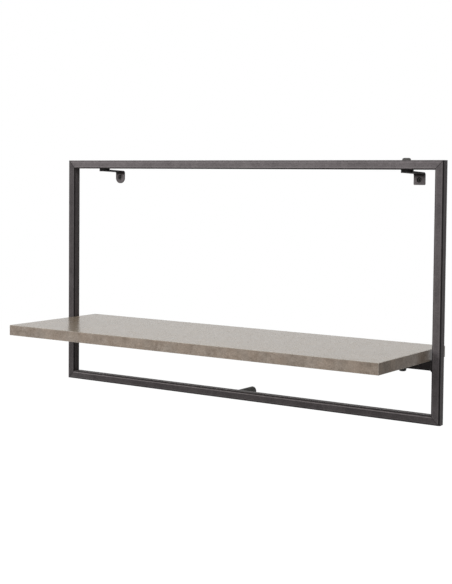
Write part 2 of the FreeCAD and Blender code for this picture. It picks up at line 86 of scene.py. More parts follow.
class FrameSettings(PropertyGroup):
    """The powder-coated steel"""
    coat_colour: FloatVectorProperty(
        name="Coat", description="Main colour of the coat on the brushed steel", subtype="COLOR",
        min=0, max=1, default=(0.112, 0.101, 0.103))
    # Partly rubbed coat and partly a painted highlight, beside the tubes' corners
    thin_coat_and_highlight_colour: FloatVectorProperty(
        name="Thin coat", description="Colour of the coat where it is rubbed, beside the corners",
        subtype="COLOR", min=0, max=1, default=(0.190, 0.173, 0.175))
    # Painted shade on the tubes' rounded corners
    corner_shade: FloatProperty(
        name="Corner shade", description="How dark the tubes' rounded corners are",
        min=0, max=1, default=0.92)
    patch_size: FloatProperty(
        name="Patches", description="Size of the soft patches of tone", unit="LENGTH",
        min=0.002, max=0.2, default=0.022)
    # Painted light: the brackets take the tubes' coat made lighter, standing in for the light on
    # their tabs
    bracket_painted_light: FloatProperty(
        name="Bracket tone", description="How light the wall brackets' steel is",
        min=0.5, max=5, default=2.25)
    countersink: FloatProperty(
        name="Countersink", description="Diameter of the wall holes' countersinks",
        unit="LENGTH", min=0.005, max=0.012, default=0.0086)
    seam_tone: FloatProperty(
        name="Seam tone", description="How light the ground welds of the corners are",
        min=0.1, max=2, default=0.7)
    # Painted light and shade: the tubes share one coat, and these tones make lit and shaded copies
    # of it, lighter on the top rail and the right upright, darker on the support rail under the
    # board
    top_rail_painted_light: FloatProperty(
        name="Top rail tone", description="How light the top rail was brushed",
        min=0.2, max=2, default=1.65)
    bottom_rail_painted_light: FloatProperty(
        name="Bottom rail tone", description="How light the bottom rail was brushed",
        min=0.2, max=2, default=1.07)
    left_upright_painted_light: FloatProperty(
        name="Left upright tone", description="How light the left upright was brushed",
        min=0.2, max=2, default=0.92)
    right_upright_painted_light: FloatProperty(
        name="Right upright tone", description="How light the right upright was brushed",
        min=0.2, max=2, default=1.27)
    support_painted_shade: FloatProperty(
        name="Support tone", description="How light the shelf's support rail was brushed",
        min=0.2, max=2, default=0.45)
    coat_roughness: FloatProperty(
        name="Roughness", description="Mean roughness of the coat", min=0, max=1, default=0.42)
    grain_size: FloatProperty(
        name="Grain", description="Size of the steel's fine grain", unit="LENGTH",
        min=0.0001, max=0.01, default=0.0016)
    edge_round: FloatProperty(
        name="Edge round", description="Rounding left on cut steel edges by deburring and coat",
        unit="LENGTH", min=0.00005, max=0.001, default=0.0003)
    seam_depth: FloatProperty(
        name="Seam depth", description="How far the ground mitre welds lie under the tube's faces",
        unit="LENGTH", min=0, max=0.001, default=0.0002)
    ripple_length: FloatProperty(
        name="Ripple", description="Length of one ripple of a weld bead", unit="LENGTH",
        min=0.0003, max=0.005, default=0.0013)


class BoardSettings(PropertyGroup):
    """The laminate board"""
    light_colour: FloatVectorProperty(
        name="Light", description="Lighter patches of the laminate", subtype="COLOR",
        min=0, max=1, default=(0.405, 0.350, 0.298))
    dark_colour: FloatVectorProperty(
        name="Dark", description="Darker patches of the laminate", subtype="COLOR",
        min=0, max=1, default=(0.225, 0.186, 0.152))
    speck_colour: FloatVectorProperty(
        name="Specks", description="Small dark specks in the laminate", subtype="COLOR",
        min=0, max=1, default=(0.130, 0.105, 0.083))
    # The trimmed corners' colour, partly the trim and partly a painted highlight
    trim_and_highlight_colour: FloatVectorProperty(
        name="Trimmed edge", description="Colour of the edge bands' trimmed corners",
        subtype="COLOR", min=0, max=1, default=(0.56, 0.50, 0.43))
    patch_size: FloatProperty(
        name="Patches", description="Size of the laminate's cloudy patches", unit="LENGTH",
        min=0.002, max=0.2, default=0.022)
    speck_size: FloatProperty(
        name="Speck size", description="Spacing of the small specks", unit="LENGTH",
        min=0.0005, max=0.02, default=0.0022)
    roughness: FloatProperty(
        name="Roughness", description="Mean roughness of the laminate", min=0, max=1, default=0.23)


class FixingSettings(PropertyGroup):
    """Bolts, screws, washers and inserts"""
    black_colour: FloatVectorProperty(
        name="Black steel", description="Colour of the blackened bolts and screws",
        subtype="COLOR", min=0, max=1, default=(0.030, 0.029, 0.028))
    zinc_colour: FloatVectorProperty(
        name="Zinc", description="Colour of the dull zinc plating", subtype="COLOR",
        min=0, max=1, default=(0.12, 0.118, 0.112))
    screw_colour: FloatVectorProperty(
        name="Screw steel", description="Colour of the wall screws' dull steel",
        subtype="COLOR", min=0, max=1, default=(0.072, 0.070, 0.067))
    rubber_colour: FloatVectorProperty(
        name="Rubber", description="Colour of the rubber spacer", subtype="COLOR",
        min=0, max=1, default=(0.036, 0.035, 0.030))
    tab_thickness: FloatProperty(
        name="Tab", description="Thickness of the brackets' tabs against the wall",
        unit="LENGTH", min=0.001, max=0.006, default=0.003)
    wall_screw_head: FloatProperty(
        name="Wall screw head", description="Diameter of the wall screws' heads", unit="LENGTH",
        min=0.005, max=0.01, default=0.0068)
    wall_screw_depth: FloatProperty(
        name="Wall screw depth", description="How far the wall screws' heads lie in their holes",
        unit="LENGTH", min=0, max=0.002, default=0.0008)
    wall_screw_shank: FloatProperty(
        name="Wall screw shank", description="Diameter of the wall screws' shanks",
        unit="LENGTH", min=0.002, max=0.005, default=0.0038)
    recess_width: FloatProperty(
        name="Recess", description="Width of the cross recess in a wall screw", unit="LENGTH",
        min=0.002, max=0.006, default=0.0032)


class StageSettings(PropertyGroup):
    """Floor, light and camera"""
    floor_height: FloatProperty(
        name="Floor", description="Height of the floor, under a shelf at chest height",
        unit="LENGTH", default=-1.6)
    floor_colour: FloatVectorProperty(
        name="Floor colour", description="Colour of the floor", subtype="COLOR",
        min=0, max=1, default=(0.8, 0.8, 0.8))
    room_light: FloatProperty(
        name="Room light", description="Strength of the even light from all round",
        min=0, max=2, default=0.11)
    key_power: FloatProperty(
        name="Key light", description="Power of the soft light at the left front, in watts",
        min=0, max=500, default=20)
    left_power: FloatProperty(
        name="Left light", description="Power of the light further to the left, in watts",
        min=0, max=500, default=4.3)
    upper_power: FloatProperty(
        name="Upper light", description="Power of the light close above the front, in watts",
        min=0, max=500, default=5.5)
    side_power: FloatProperty(
        name="Side light", description="Power of the weak light at the right, in watts",
        min=0, max=500, default=4.8)
    back_power: FloatProperty(
        name="Back light", description="Power of the weak light behind the wall's plane, in watts",
        min=0, max=500, default=11)
    camera_place: FloatVectorProperty(
        name="Camera", description="Where the camera stands", subtype="TRANSLATION",
        unit="LENGTH", default=(1.1389, -1.7342, -0.0058))
    pan: FloatProperty(
        name="Pan", description="How far the camera turns to the left", subtype="ANGLE",
        default=0.57745)
    tilt: FloatProperty(
        name="Tilt", description="How far the camera looks down", subtype="ANGLE",
        default=0.04736)
    roll: FloatProperty(
        name="Roll", description="How far the camera leans over", subtype="ANGLE",
        default=0.01070)
    focal_length: FloatProperty(
        name="Focal length", description="Focal length in millimetres on a 36 mm sensor",
        min=10, max=300, default=73.09)
    shift_across: FloatProperty(
        name="Shift across", description="Lens shift across, in sensor widths",
        min=-1, max=1, default=-0.0616)
    shift_up: FloatProperty(
        name="Shift up", description="Lens shift upwards, in sensor widths",
        min=-1, max=1, default=-0.0925)


# Shader nodes

# The sockets of a node that mixes colours: its factor, both colours and its result
MIX_FACTOR, MIX_FIRST, MIX_SECOND, MIX_RESULT = 0, 6, 7, 2

# The part of a noise's range that is spread out, for less contrast and for more
SOFT = (0.3, 0.7)
CLEAR = (0.35, 0.65)


def add(tree, kind, inputs=None, **settings):
    """One node. Inputs are given by name or number, each as a value or as another's output."""
    node = tree.nodes.new(kind)
    for name, setting in settings.items():
        setattr(node, name, setting)
    for name, given in (inputs or {}).items():
        if isinstance(given, bpy.types.NodeSocket):
            tree.links.new(given, node.inputs[name])
        else:
            node.inputs[name].default_value = given
    return node


def place_in_object(tree):
    return add(tree, "ShaderNodeTexCoord").outputs["Object"]


def separate(tree, at):
    node = add(tree, "ShaderNodeSeparateXYZ", {"Vector": at})
    return node.outputs["X"], node.outputs["Y"], node.outputs["Z"]


def noise(tree, at, size, detail=2.0, rough=0.5):
    """Cloudy noise from 0 to 1, with clouds about size metres across."""
    return add(tree, "ShaderNodeTexNoise",
               {"Vector": at, "Scale": 1 / size, "Detail": detail, "Roughness": rough}
               ).outputs["Fac"]


def spread(tree, factor, low, high, to_low=0.0, to_high=1.0):
    """The factor's range from low to high, spread over another one and held at its ends."""
    return add(tree, "ShaderNodeMapRange",
               {"Value": factor, "From Min": low, "From Max": high,
                "To Min": to_low, "To Max": to_high}, clamp=True).outputs["Result"]


def maths(tree, operation, first, second=0.0, third=0.0):
    """A sum, product or the like of up to three numbers or outputs."""
    return add(tree, "ShaderNodeMath", {0: first, 1: second, 2: third},
               operation=operation).outputs["Value"]


def product(tree, first, second):
    return maths(tree, "MULTIPLY", first, second)


def blend(tree, factor, first, second, how="MIX"):
    """Two colours mixed by a factor, each a colour or an output."""
    first, second = (given if isinstance(given, bpy.types.NodeSocket) else (*given, 1.0)
                     for given in (first, second))
    return add(tree, "ShaderNodeMix",
               {MIX_FACTOR: factor, MIX_FIRST: first, MIX_SECOND: second},
               data_type="RGBA", blend_type=how).outputs[MIX_RESULT]


def bump(tree, height, distance, strength, under=None):
    """The normal of a surface raised by height times distance, on top of another normal."""
    inputs = {"Height": height, "Distance": distance, "Strength": strength}
    if under:
        inputs["Normal"] = under
    return add(tree, "ShaderNodeBump", inputs).outputs["Normal"]


def new_material(name):
    """An empty material with its shader, and the tree to build it in."""
    material = bpy.data.materials.new(name)
    material.use_nodes = True
    tree = material.node_tree
    tree.nodes.clear()
    shader = add(tree, "ShaderNodeBsdfPrincipled")
    add(tree, "ShaderNodeOutputMaterial", {"Surface": shader.outputs["BSDF"]})
    return material, tree, shader


def finish_shader(tree, shader, colour, roughness, normal, **constants):
    """Link what varies, and set what is constant on the sockets themselves."""
    tree.links.new(colour, shader.inputs["Base Color"])
    tree.links.new(roughness, shader.inputs["Roughness"])
    tree.links.new(normal, shader.inputs["Normal"])
    for name, number in constants.items():
        shader.inputs[name.replace("_", " ")].default_value = number


def depth_inside(tree, along, low, high):
    """How far a coordinate lies inside the nearer of two bounds."""
    return maths(tree, "MINIMUM", maths(tree, "SUBTRACT", along, low),
                 maths(tree, "SUBTRACT", high, along))


# The coated steel. Sizes are in metres, and tones are shares of the coat's colour.

# Where the painted shade of a tube's corner fades, and its tone
CORNER_SHADE_FADES = (0.0016, 0.0023)
CORNER_SHADE_TONE = 0.12

# Where the band beside the corner comes and goes, partly rubbed coat and partly a painted
# highlight, the size of the marks in it, and how far it shows between and on them
RUB_HIGHLIGHT_COMES = (0.0022, 0.0028)
RUB_HIGHLIGHT_GOES = (0.0032, 0.0042)
MARK_SIZE = 0.006
RUB_HIGHLIGHT_SHARE = (0.2, 0.6)

# The painted highlight by a rail's upper corners: the range of its marks, how far it shows between
# and on them, and its tone, as a share of the rubbed band's colour
TOP_HIGHLIGHT_MARKS = (0.3, 0.6)
TOP_HIGHLIGHT_SHARE = (0.5, 1.0)
TOP_HIGHLIGHT_TONE = 2.1

# As shares of the darkest corner's painted shade: the lightest corner's, and the shades between
# which the painted highlight by a rail's upper corners ends
LEAST_SHADE = 0.3
UPPER_SHADES = (0.55, 0.75)

# What makes up the brushed tone, and its darkest and its lightest
GRAIN_SHARE, PATCH_SHARE = 0.6, 0.4
BRUSHED_TONES = (0.68, 1.32)

# How far the patches and the grain change the roughness
PATCH_ROUGHNESS = 0.05
GRAIN_ROUGHNESS = 0.04

# The relief of the grain and of shallow dents
GRAIN_HEIGHT = 0.00003
DENT_SIZE = 0.004
DENT_HEIGHT = 0.0001

# The coat's specular level
COAT_GLOSS = 0.04


def coated_steel(settings, name, lightness=1.0, tube=None, top_highlight=False):
    """Brushed steel under a satin coat: a fine grain and soft patches of tone.

    With a tube's name, its rounded corners get painted shade, and the flats beside them are
    lighter from rubbed coat and a painted highlight. With top_highlight, a rail also gets a
    painted highlight beside its upper corners.
    """
    material, tree, shader = new_material(name)
    at = place_in_object(tree)
    coat = Vector(settings.coat_colour) * lightness
    colour, roughness, normal = brushed_coat(tree, at, settings, coat)
    if tube:
        most = settings.corner_shade
        thin_coat_and_highlight = Vector(settings.thin_coat_and_highlight_colour) * lightness
        away, shade = tube_corner(tree, at, tube, most)
        # The band beside the corners: rubbed coat and a painted highlight
        beside = product(tree, spread(tree, away, *RUB_HIGHLIGHT_COMES),
                         spread(tree, away, *RUB_HIGHLIGHT_GOES, 1.0, 0.0))
        marks = noise(tree, at, MARK_SIZE, detail=4, rough=0.7)
        rubbed = product(tree, beside, spread(tree, marks, *CLEAR, *RUB_HIGHLIGHT_SHARE))
        colour = blend(tree, rubbed, colour, thin_coat_and_highlight)
        # A painted highlight along the rail's upper corners
        if top_highlight:
            low, high = UPPER_SHADES
            upper = spread(tree, shade, low * most, high * most, 1.0, 0.0)
            rubbed = product(tree, product(tree, beside, upper),
                             spread(tree, marks, *TOP_HIGHLIGHT_MARKS, *TOP_HIGHLIGHT_SHARE))
            colour = blend(tree, rubbed, colour, thin_coat_and_highlight * TOP_HIGHLIGHT_TONE)
        # Painted shade in the tubes' corners, darkest on those turned away from the light
        dark = product(tree, spread(tree, away, *CORNER_SHADE_FADES, 1.0, 0.0), shade)
        colour = blend(tree, dark, colour, coat * CORNER_SHADE_TONE)
    finish_shader(tree, shader, colour, roughness, normal, Specular_IOR_Level=COAT_GLOSS)
    return material


def brushed_coat(tree, at, settings, coat):
    """The colour, roughness and normal of the coat before its corners get their rubbed coat,
    painted highlight and painted shade.
    """
    patches = noise(tree, at, settings.patch_size, detail=4, rough=0.6)
    grain = noise(tree, at, settings.grain_size, detail=3, rough=0.7)
    dents = noise(tree, at, DENT_SIZE)
    tone = maths(tree, "MULTIPLY_ADD", grain, GRAIN_SHARE, product(tree, patches, PATCH_SHARE))
    dark, light = (coat * end for end in BRUSHED_TONES)
    colour = blend(tree, spread(tree, tone, *CLEAR), dark, light)
    roughness = maths(tree, "ADD",
                      spread(tree, patches, *SOFT, -PATCH_ROUGHNESS, PATCH_ROUGHNESS),
                      spread(tree, grain, *SOFT, settings.coat_roughness - GRAIN_ROUGHNESS,
                             settings.coat_roughness + GRAIN_ROUGHNESS))
    normal = bump(tree, grain, GRAIN_HEIGHT, strength=0.55,
                  under=bump(tree, dents, DENT_HEIGHT, strength=0.25))
    return colour, roughness, normal


def tube_corner(tree, at, tube, most):
    """The distance from a tube's nearest long corner, and the painted shade of the corners there.

    The painted shade is darkest on the lower corners of a rail and the right-hand corners of an
    upright, which face away from the key light.
    """
    low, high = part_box(tube)
    x, y, z = separate(tree, at)
    least = LEAST_SHADE * most
    if high.z - low.z > high.x - low.x:
        across = depth_inside(tree, x, low.x, high.x)
        shade = spread(tree, x, low.x, high.x, least, most)
    else:
        across = depth_inside(tree, z, low.z, high.z)
        shade = spread(tree, z, low.z, high.z, most, least)
    return maths(tree, "MAXIMUM", across, depth_inside(tree, y, low.y, high.y)), shade


# The brackets' painted shade, in metres and in shares of the coat's colour

# Painted shade under the rail: the strip grows light between these places along y, towards the
# wall
STRIP_SHADE_DEPTHS = (-0.014, -0.006)
STRIP_SHADE_TONE = 0.4

# Painted shadow at the bend: the tab grows dark between these heights over the wall hole
BEND_SHADOW_HEIGHTS = (0.0035, 0.0075)
BEND_SHADOW_TONE = 0.18

# Painted shade in the countersink: how far its blurred edge lies inside and outside it
SINK_SHADE_BLUR = (-0.0003, 0.0002)
SINK_SHADE_TONE = 0.16


def bracket_steel(settings, name):
    """The brackets' steel: painted shade under the rail and at the bends, lightest on the tabs.

    The wall holes' countersinks have painted shade.
    """
    material, tree, shader = new_material(name)
    at = place_in_object(tree)
    coat = Vector(settings.coat_colour) * settings.bracket_painted_light
    colour, roughness, normal = brushed_coat(tree, at, settings, coat)
    depth = separate(tree, at)[1]
    from_hole, above = from_wall_hole(tree, at)
    inner, outer = (settings.countersink / 2 + blur for blur in SINK_SHADE_BLUR)
    # Painted shade under the rail, painted shadow at the bends and painted shade in the
    # countersinks
    light = product(tree, spread(tree, depth, *STRIP_SHADE_DEPTHS, STRIP_SHADE_TONE, 1.0),
                    product(tree, spread(tree, above, *BEND_SHADOW_HEIGHTS, 1.0, BEND_SHADOW_TONE),
                            spread(tree, from_hole, inner, outer, SINK_SHADE_TONE, 1.0)))
    grey = add(tree, "ShaderNodeCombineColor", {"Red": light, "Green": light, "Blue": light})
    colour = blend(tree, 1.0, colour, grey.outputs["Color"], "MULTIPLY")
    finish_shader(tree, shader, colour, roughness, normal, Specular_IOR_Level=COAT_GLOSS)
    return material


def from_wall_hole(tree, at):
    """The distance from the nearer wall hole's axis, and the height over it."""
    hole_x, hole_z = wall_hole()
    x, _, z = separate(tree, at)
    beside = maths(tree, "SUBTRACT", maths(tree, "ABSOLUTE", x), hole_x)
    above = maths(tree, "SUBTRACT", z, hole_z)
    squares = maths(tree, "MULTIPLY_ADD", beside, beside, product(tree, above, above))
    return maths(tree, "SQRT", squares), above


def wall_hole():
    """The right bracket's wall hole: its x and z in metres, from the mount in the record."""
    mounts = {mount["name"]: mount for mount in frame["record"]["mounts"]}
    mount = mounts["top_wall_holes"]
    x, _, z = mount["pos_m"]
    spacing = mount["dims"]["spacing_x_mm"] / 1000
    return x + spacing / 2, z


# What makes up the laminate's tone, and the part of its range that is spread out
CLOUD_SHARE, MOTTLE_SHARE, FINE_SHARE = 0.34, 0.30, 0.36
TONE_RANGE = (0.38, 0.62)

# The sizes of its mottle and of its warm patches, as shares of the clouds' size
MOTTLE_SIZE = 0.2
WARM_SIZE = 0.6
WARM_TINT = (1.03, 0.99, 0.955)

# Its dark specks: where one fades, in speck sizes from its middle, the mottle that it shows in,
# and its strength
SPECK_FADES = (0.10, 0.34)
SPECK_MOTTLE = (0.45, 0.62)
SPECK_STRENGTH = 0.75

# How far its roughness goes under and over the mean
SMOOTHEST, ROUGHEST = -0.04, 0.06

# The relief of its fine texture and of its clouds, in metres
FINE_HEIGHT = 0.00002
CLOUD_HEIGHT = 0.0002

# The trimmed corners, lighter from the trim and a painted highlight: how far from a face it
# counts as near, in metres, and the sum of three such nearnesses, each from 0 to 1, over which
# two faces are near together
TRIM_HIGHLIGHT_WIDTH = 0.0009
TRIM_HIGHLIGHT_RANGE = (1.05, 1.6)

# The marks that break up the trim and its painted highlight, and its strength between and on them
TRIM_HIGHLIGHT_MARK_SIZE = 0.004
TRIM_HIGHLIGHT_MARKS = (0.3, 0.6)
TRIM_HIGHLIGHT_STRENGTH = (0.45, 0.9)


def laminate(settings, name, patch, contrast, tint, gloss, trimmed=False):
    """Concrete-look laminate: cloudy patches, a fine speckle and a slight texture.

    The clouds are about patch metres across. A contrast of 1 takes their tones from the settings'
    dark to their light colour. Trimmed laminate is lighter on the board's outer corners, from its
    trim and a painted highlight.
    """
    material, tree, shader = new_material(name)
    at = place_in_object(tree)
    clouds = noise(tree, at, patch, detail=5, rough=0.62)
    mottle = noise(tree, at, patch * MOTTLE_SIZE, detail=4, rough=0.65)
    fine = noise(tree, at, settings.speck_size, detail=3, rough=0.7)
    tone = maths(tree, "MULTIPLY_ADD", clouds, CLOUD_SHARE,
                 maths(tree, "MULTIPLY_ADD", mottle, MOTTLE_SHARE,
                       product(tree, fine, FINE_SHARE)))
    ends = Vector(settings.dark_colour), Vector(settings.light_colour)
    middle = (ends[0] + ends[1]) / 2
    dark, light = (middle.lerp(end, contrast) for end in ends)
    colour = blend(tree, spread(tree, tone, *TONE_RANGE), dark, light)
    warmth = spread(tree, noise(tree, at, patch * WARM_SIZE), *CLEAR)
    colour = blend(tree, warmth, colour, blend(tree, 1.0, colour, WARM_TINT, "MULTIPLY"))
    colour = blend(tree, 1.0, colour, tint, "MULTIPLY")
    dots = add(tree, "ShaderNodeTexVoronoi", {"Vector": at, "Scale": 1 / settings.speck_size}
               ).outputs["Distance"]
    specks = product(tree, spread(tree, dots, *SPECK_FADES, 1.0, 0.0),
                     spread(tree, mottle, *SPECK_MOTTLE))
    colour = blend(tree, product(tree, specks, SPECK_STRENGTH * contrast), colour,
                   settings.speck_colour)
    # The board's outer corners made lighter: the band's trim and a painted highlight
    if trimmed:
        colour = blend(tree, trim_and_highlight(tree, at), colour, settings.trim_and_highlight_colour)
    roughness = spread(tree, mottle, *SOFT, settings.roughness + SMOOTHEST,
                       settings.roughness + ROUGHEST)
    normal = bump(tree, fine, FINE_HEIGHT, strength=0.05,
                  under=bump(tree, clouds, CLOUD_HEIGHT, strength=0.04))
    finish_shader(tree, shader, colour, roughness, normal, Specular_IOR_Level=gloss)
    return material


def trim_and_highlight(tree, at):
    """How far the board's outer corners, where two of its faces meet, show their trim and a
    painted highlight.
    """
    near = [spread(tree, depth_inside(tree, along, low, high), 0.0, TRIM_HIGHLIGHT_WIDTH, 1.0, 0.0)
            for along, low, high in zip(separate(tree, at), BOARD_LOW, BOARD_HIGH)]
    total = maths(tree, "ADD", near[0], maths(tree, "ADD", near[1], near[2]))
    marks = noise(tree, at, TRIM_HIGHLIGHT_MARK_SIZE, detail=3, rough=0.6)
    return product(tree, spread(tree, total, *TRIM_HIGHLIGHT_RANGE),
                   spread(tree, marks, *TRIM_HIGHLIGHT_MARKS, *TRIM_HIGHLIGHT_STRENGTH))


# The particle board's chips: how many in a metre, how many times wider than thick, their darkest
# and lightest colour, and their relief in metres
CHIPS_PER_METRE = 260.0
CHIP_FLATNESS = 3.0
CHIP_COLOURS = ((0.32, 0.22, 0.12), (0.62, 0.47, 0.30))
CHIP_HEIGHT = 0.0004

# The dust between them: its size in metres, how far it covers them, and its colour
DUST_SIZE = 0.0007
DUST_MOST = 0.4
DUST_COLOUR = (0.70, 0.57, 0.40)

# The least and the most roughness of the particle board
CORE_ROUGHNESS = (0.75, 0.95)


def particle_board():
    """Pressed wood chips in glue."""
    material, tree, shader = new_material("particle_board")
    at = place_in_object(tree)
    flat = add(tree, "ShaderNodeMapping", {"Vector": at, "Scale": (1.0, 1.0, CHIP_FLATNESS)})
    chips = add(tree, "ShaderNodeTexVoronoi",
                {"Vector": flat.outputs["Vector"], "Scale": CHIPS_PER_METRE}).outputs["Color"]
    shade = add(tree, "ShaderNodeSeparateColor", {"Color": chips}).outputs["Red"]
    dust = noise(tree, at, DUST_SIZE, detail=3, rough=0.6)
    colour = blend(tree, spread(tree, dust, *SOFT, 0.0, DUST_MOST),
                   blend(tree, shade, *CHIP_COLOURS), DUST_COLOUR)
    finish_shader(tree, shader, colour, spread(tree, dust, *SOFT, *CORE_ROUGHNESS),
                  bump(tree, shade, CHIP_HEIGHT, strength=0.6))
    return material


# The stains on bare steel: their size in metres and their tones, as shares of its colour
STAIN_SIZE = 0.003
STAIN_TONES = (0.72, 1.25)

# The relief of its turning marks in metres, and how metallic it is
TURNING_HEIGHT = 0.00002
METAL_SHARE = 0.9

# The painted shade in a wall screw's recess: where it begins to fade, as a share of its reach,
# its strength, and its tone as a share of the steel's colour
RECESS_SHADE_FADES = 0.8
RECESS_SHADE_STRENGTH = 0.85
RECESS_SHADE_TONE = 0.1


def plain_steel(name, colour, roughness, mark_size, recess=0.0):
    """Bare, blackened or plated steel, with fine turning marks and handling stains.

    Roughness is its least and its most. A wall screw's recess, out to that radius, has painted
    shade.
    """
    material, tree, shader = new_material(name)
    at = place_in_object(tree)
    stains = noise(tree, at, STAIN_SIZE, detail=4, rough=0.6)
    marks = noise(tree, at, mark_size, rough=0.6)
    base = Vector(colour)
    dark, light = (base * end for end in STAIN_TONES)
    tone = blend(tree, spread(tree, stains, *SOFT), dark, light)
    if recess:
        # Painted shade in the screw's recess
        from_hole = from_wall_hole(tree, at)[0]
        deep = spread(tree, from_hole, RECESS_SHADE_FADES * recess, recess, RECESS_SHADE_STRENGTH, 0.0)
        tone = blend(tree, deep, tone, base * RECESS_SHADE_TONE)
    finish_shader(tree, shader, tone, spread(tree, marks, *SOFT, *roughness),
                  bump(tree, marks, TURNING_HEIGHT, strength=0.6), Metallic=METAL_SHARE)
    return material


def black_steel(settings, name):
    """The blackened steel of bolts and screws."""
    return plain_steel(name, settings.black_colour, roughness=(0.35, 0.55), mark_size=0.0006)


# The dust on rubber: its size in metres, its range, and the tones of clean and dusty rubber, as
# shares of its colour
RUBBER_DUST_SIZE = 0.0025
RUBBER_DUST = (0.35, 0.7)
RUBBER_TONES = (0.85, 1.5)

# The rubber's least and most roughness, and the size and relief of its skin in metres
RUBBER_ROUGHNESS = (0.62, 0.78)
SKIN_SIZE = 0.0004
SKIN_HEIGHT = 0.00002


def dull_rubber(colour):
    """Matt moulded rubber with a trace of dust."""
    material, tree, shader = new_material("dull_rubber")
    at = place_in_object(tree)
    dust = noise(tree, at, RUBBER_DUST_SIZE, detail=4, rough=0.6)
    skin = noise(tree, at, SKIN_SIZE)
    clean, dusty = (Vector(colour) * end for end in RUBBER_TONES)
    tone = blend(tree, spread(tree, dust, *RUBBER_DUST), clean, dusty)
    finish_shader(tree, shader, tone, spread(tree, dust, *SOFT, *RUBBER_ROUGHNESS),
                  bump(tree, skin, SKIN_HEIGHT, strength=0.4))
    return material


# Meshes

# The distance in metres under which two points of a mesh are one point, and the angle under which
# two faces are one flat face
SAME_POINT = 1e-6
SAME_FACE = math.radians(0.6)

# The angle over which an edge is sharp and gets rounded, and the steps of its rounding
SHARP_EDGE = math.radians(35)
ROUND_STEPS = 2

# A weld bead's curved outline and its ripples, as shares of its size
BEAD_ARC = ((1.0, 0.0), (0.87, 0.36), (0.62, 0.62), (0.36, 0.87), (0.0, 1.0))
RIPPLE_STEPS = 4
RIPPLE_DEPTH = 0.10

# The size of a bead's very ends, and how fast it grows from there to its full size
BEAD_END = 0.55
BEAD_GROWTH = 4.0

# A wall screw's rim in metres, and its recess: half the width of its arms, its depth and the size
# of its floor, as shares of its width
SCREW_SIDES = 32
SCREW_RIM = 0.0003
RECESS_ARM = 0.14
RECESS_DEPTH = 0.55
RECESS_FLOOR = 0.55


def joined_copy(name):
    """A CAD node in a bmesh, its loose triangles joined and its flat faces made whole."""
    shape = bmesh.new()
    shape.from_mesh(NODES[name].data)
    bmesh.ops.remove_doubles(shape, verts=shape.verts, dist=SAME_POINT)
    bmesh.ops.dissolve_limit(shape, angle_limit=SAME_FACE, use_dissolve_boundaries=False,
                             verts=shape.verts, edges=shape.edges)
    return shape


def new_piece(name, shape, material, replaced=()):
    """A finished piece from a bmesh, riding on the shelf in place of the CAD nodes it copies."""
    mesh = bpy.data.meshes.new(name)
    shape.to_mesh(mesh)
    shape.free()
    mesh.shade_smooth()
    mesh.materials.append(material)
    piece = bpy.data.objects.new(name, mesh)
    bpy.context.scene.collection.objects.link(piece)
    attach(piece, "root")
    if replaced:
        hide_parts(*replaced)
    return piece


def round_edges(piece, width):
    """Round a piece's sharp edges, and keep its flat faces shaded flat."""
    bevel = piece.modifiers.new("rounded edges", "BEVEL")
    bevel.width = width
    bevel.segments = ROUND_STEPS
    bevel.limit_method = "ANGLE"
    bevel.angle_limit = SHARP_EDGE
    bevel.use_clamp_overlap = False
    bevel.harden_normals = True


def dress(names, material):
    """Give CAD nodes that keep their own shape a better material."""
    for name in names:
        for slot in NODES[name].material_slots:
            slot.material = material


def only(kind, grown):
    """The new vertices, edges or faces that an extrusion returned."""
    return [item for item in grown["geom"] if isinstance(item, kind)]


def finish_mesh(shape):
    """Turn an extruded mesh's faces outwards, and sort what it is made of by place.

    An extrusion makes its faces in an order that isn't the same in each run.
    """
    bmesh.ops.recalc_face_normals(shape, faces=shape.faces)
    sort_by_place(shape.verts, lambda vertex: vertex.co)
    sort_by_place(shape.edges, lambda edge: edge.verts[0].co + edge.verts[1].co)
    sort_by_place(shape.faces, lambda face: face.calc_center_median())


def sort_by_place(elements, place):
    """Put a mesh's vertices, edges or faces in the order of their places."""
    in_order = sorted(elements, key=lambda element: tuple(place(element)))
    rank = {element: number for number, element in enumerate(in_order)}
    elements.sort(key=rank.get)


def fillet_bead(shape, start, end, over, down, leg, ripple):
    """A weld bead from start to end in the corner between two faces.

    over and down point along the two faces, away from the corner.
    """
    steps = round((end - start).length / ripple) * RIPPLE_STEPS
    corners = [start] + [start + over * (across * leg) + down * (deep * leg)
                         for across, deep in BEAD_ARC]
    face = shape.faces.new([shape.verts.new(corner) for corner in corners])
    centre = start.copy()
    size = 1.0
    for step in range(1, steps + 1):
        along = step / steps
        turn = 2 * math.pi * step / RIPPLE_STEPS
        wave = 1.0 - RIPPLE_DEPTH * (0.5 - 0.5 * math.cos(turn))
        taper = min(1.0, BEAD_END + BEAD_GROWTH * min(along, 1.0 - along))
        wanted = wave * taper
        # With its edges given too, an end that has grown on doesn't stay behind inside the bead
        grown = bmesh.ops.extrude_face_region(shape, geom=[face, *face.edges])
        face = only(bmesh.types.BMFace, grown)[0]
        moved = start + (end - start) * along
        bmesh.ops.translate(shape, verts=face.verts, vec=moved - centre)
        bmesh.ops.scale(shape, verts=face.verts, vec=Vector((1, 1, 1)) * (wanted / size),
                        space=Matrix.Translation(-moved))
        centre = moved
        size = wanted
    finish_mesh(shape)


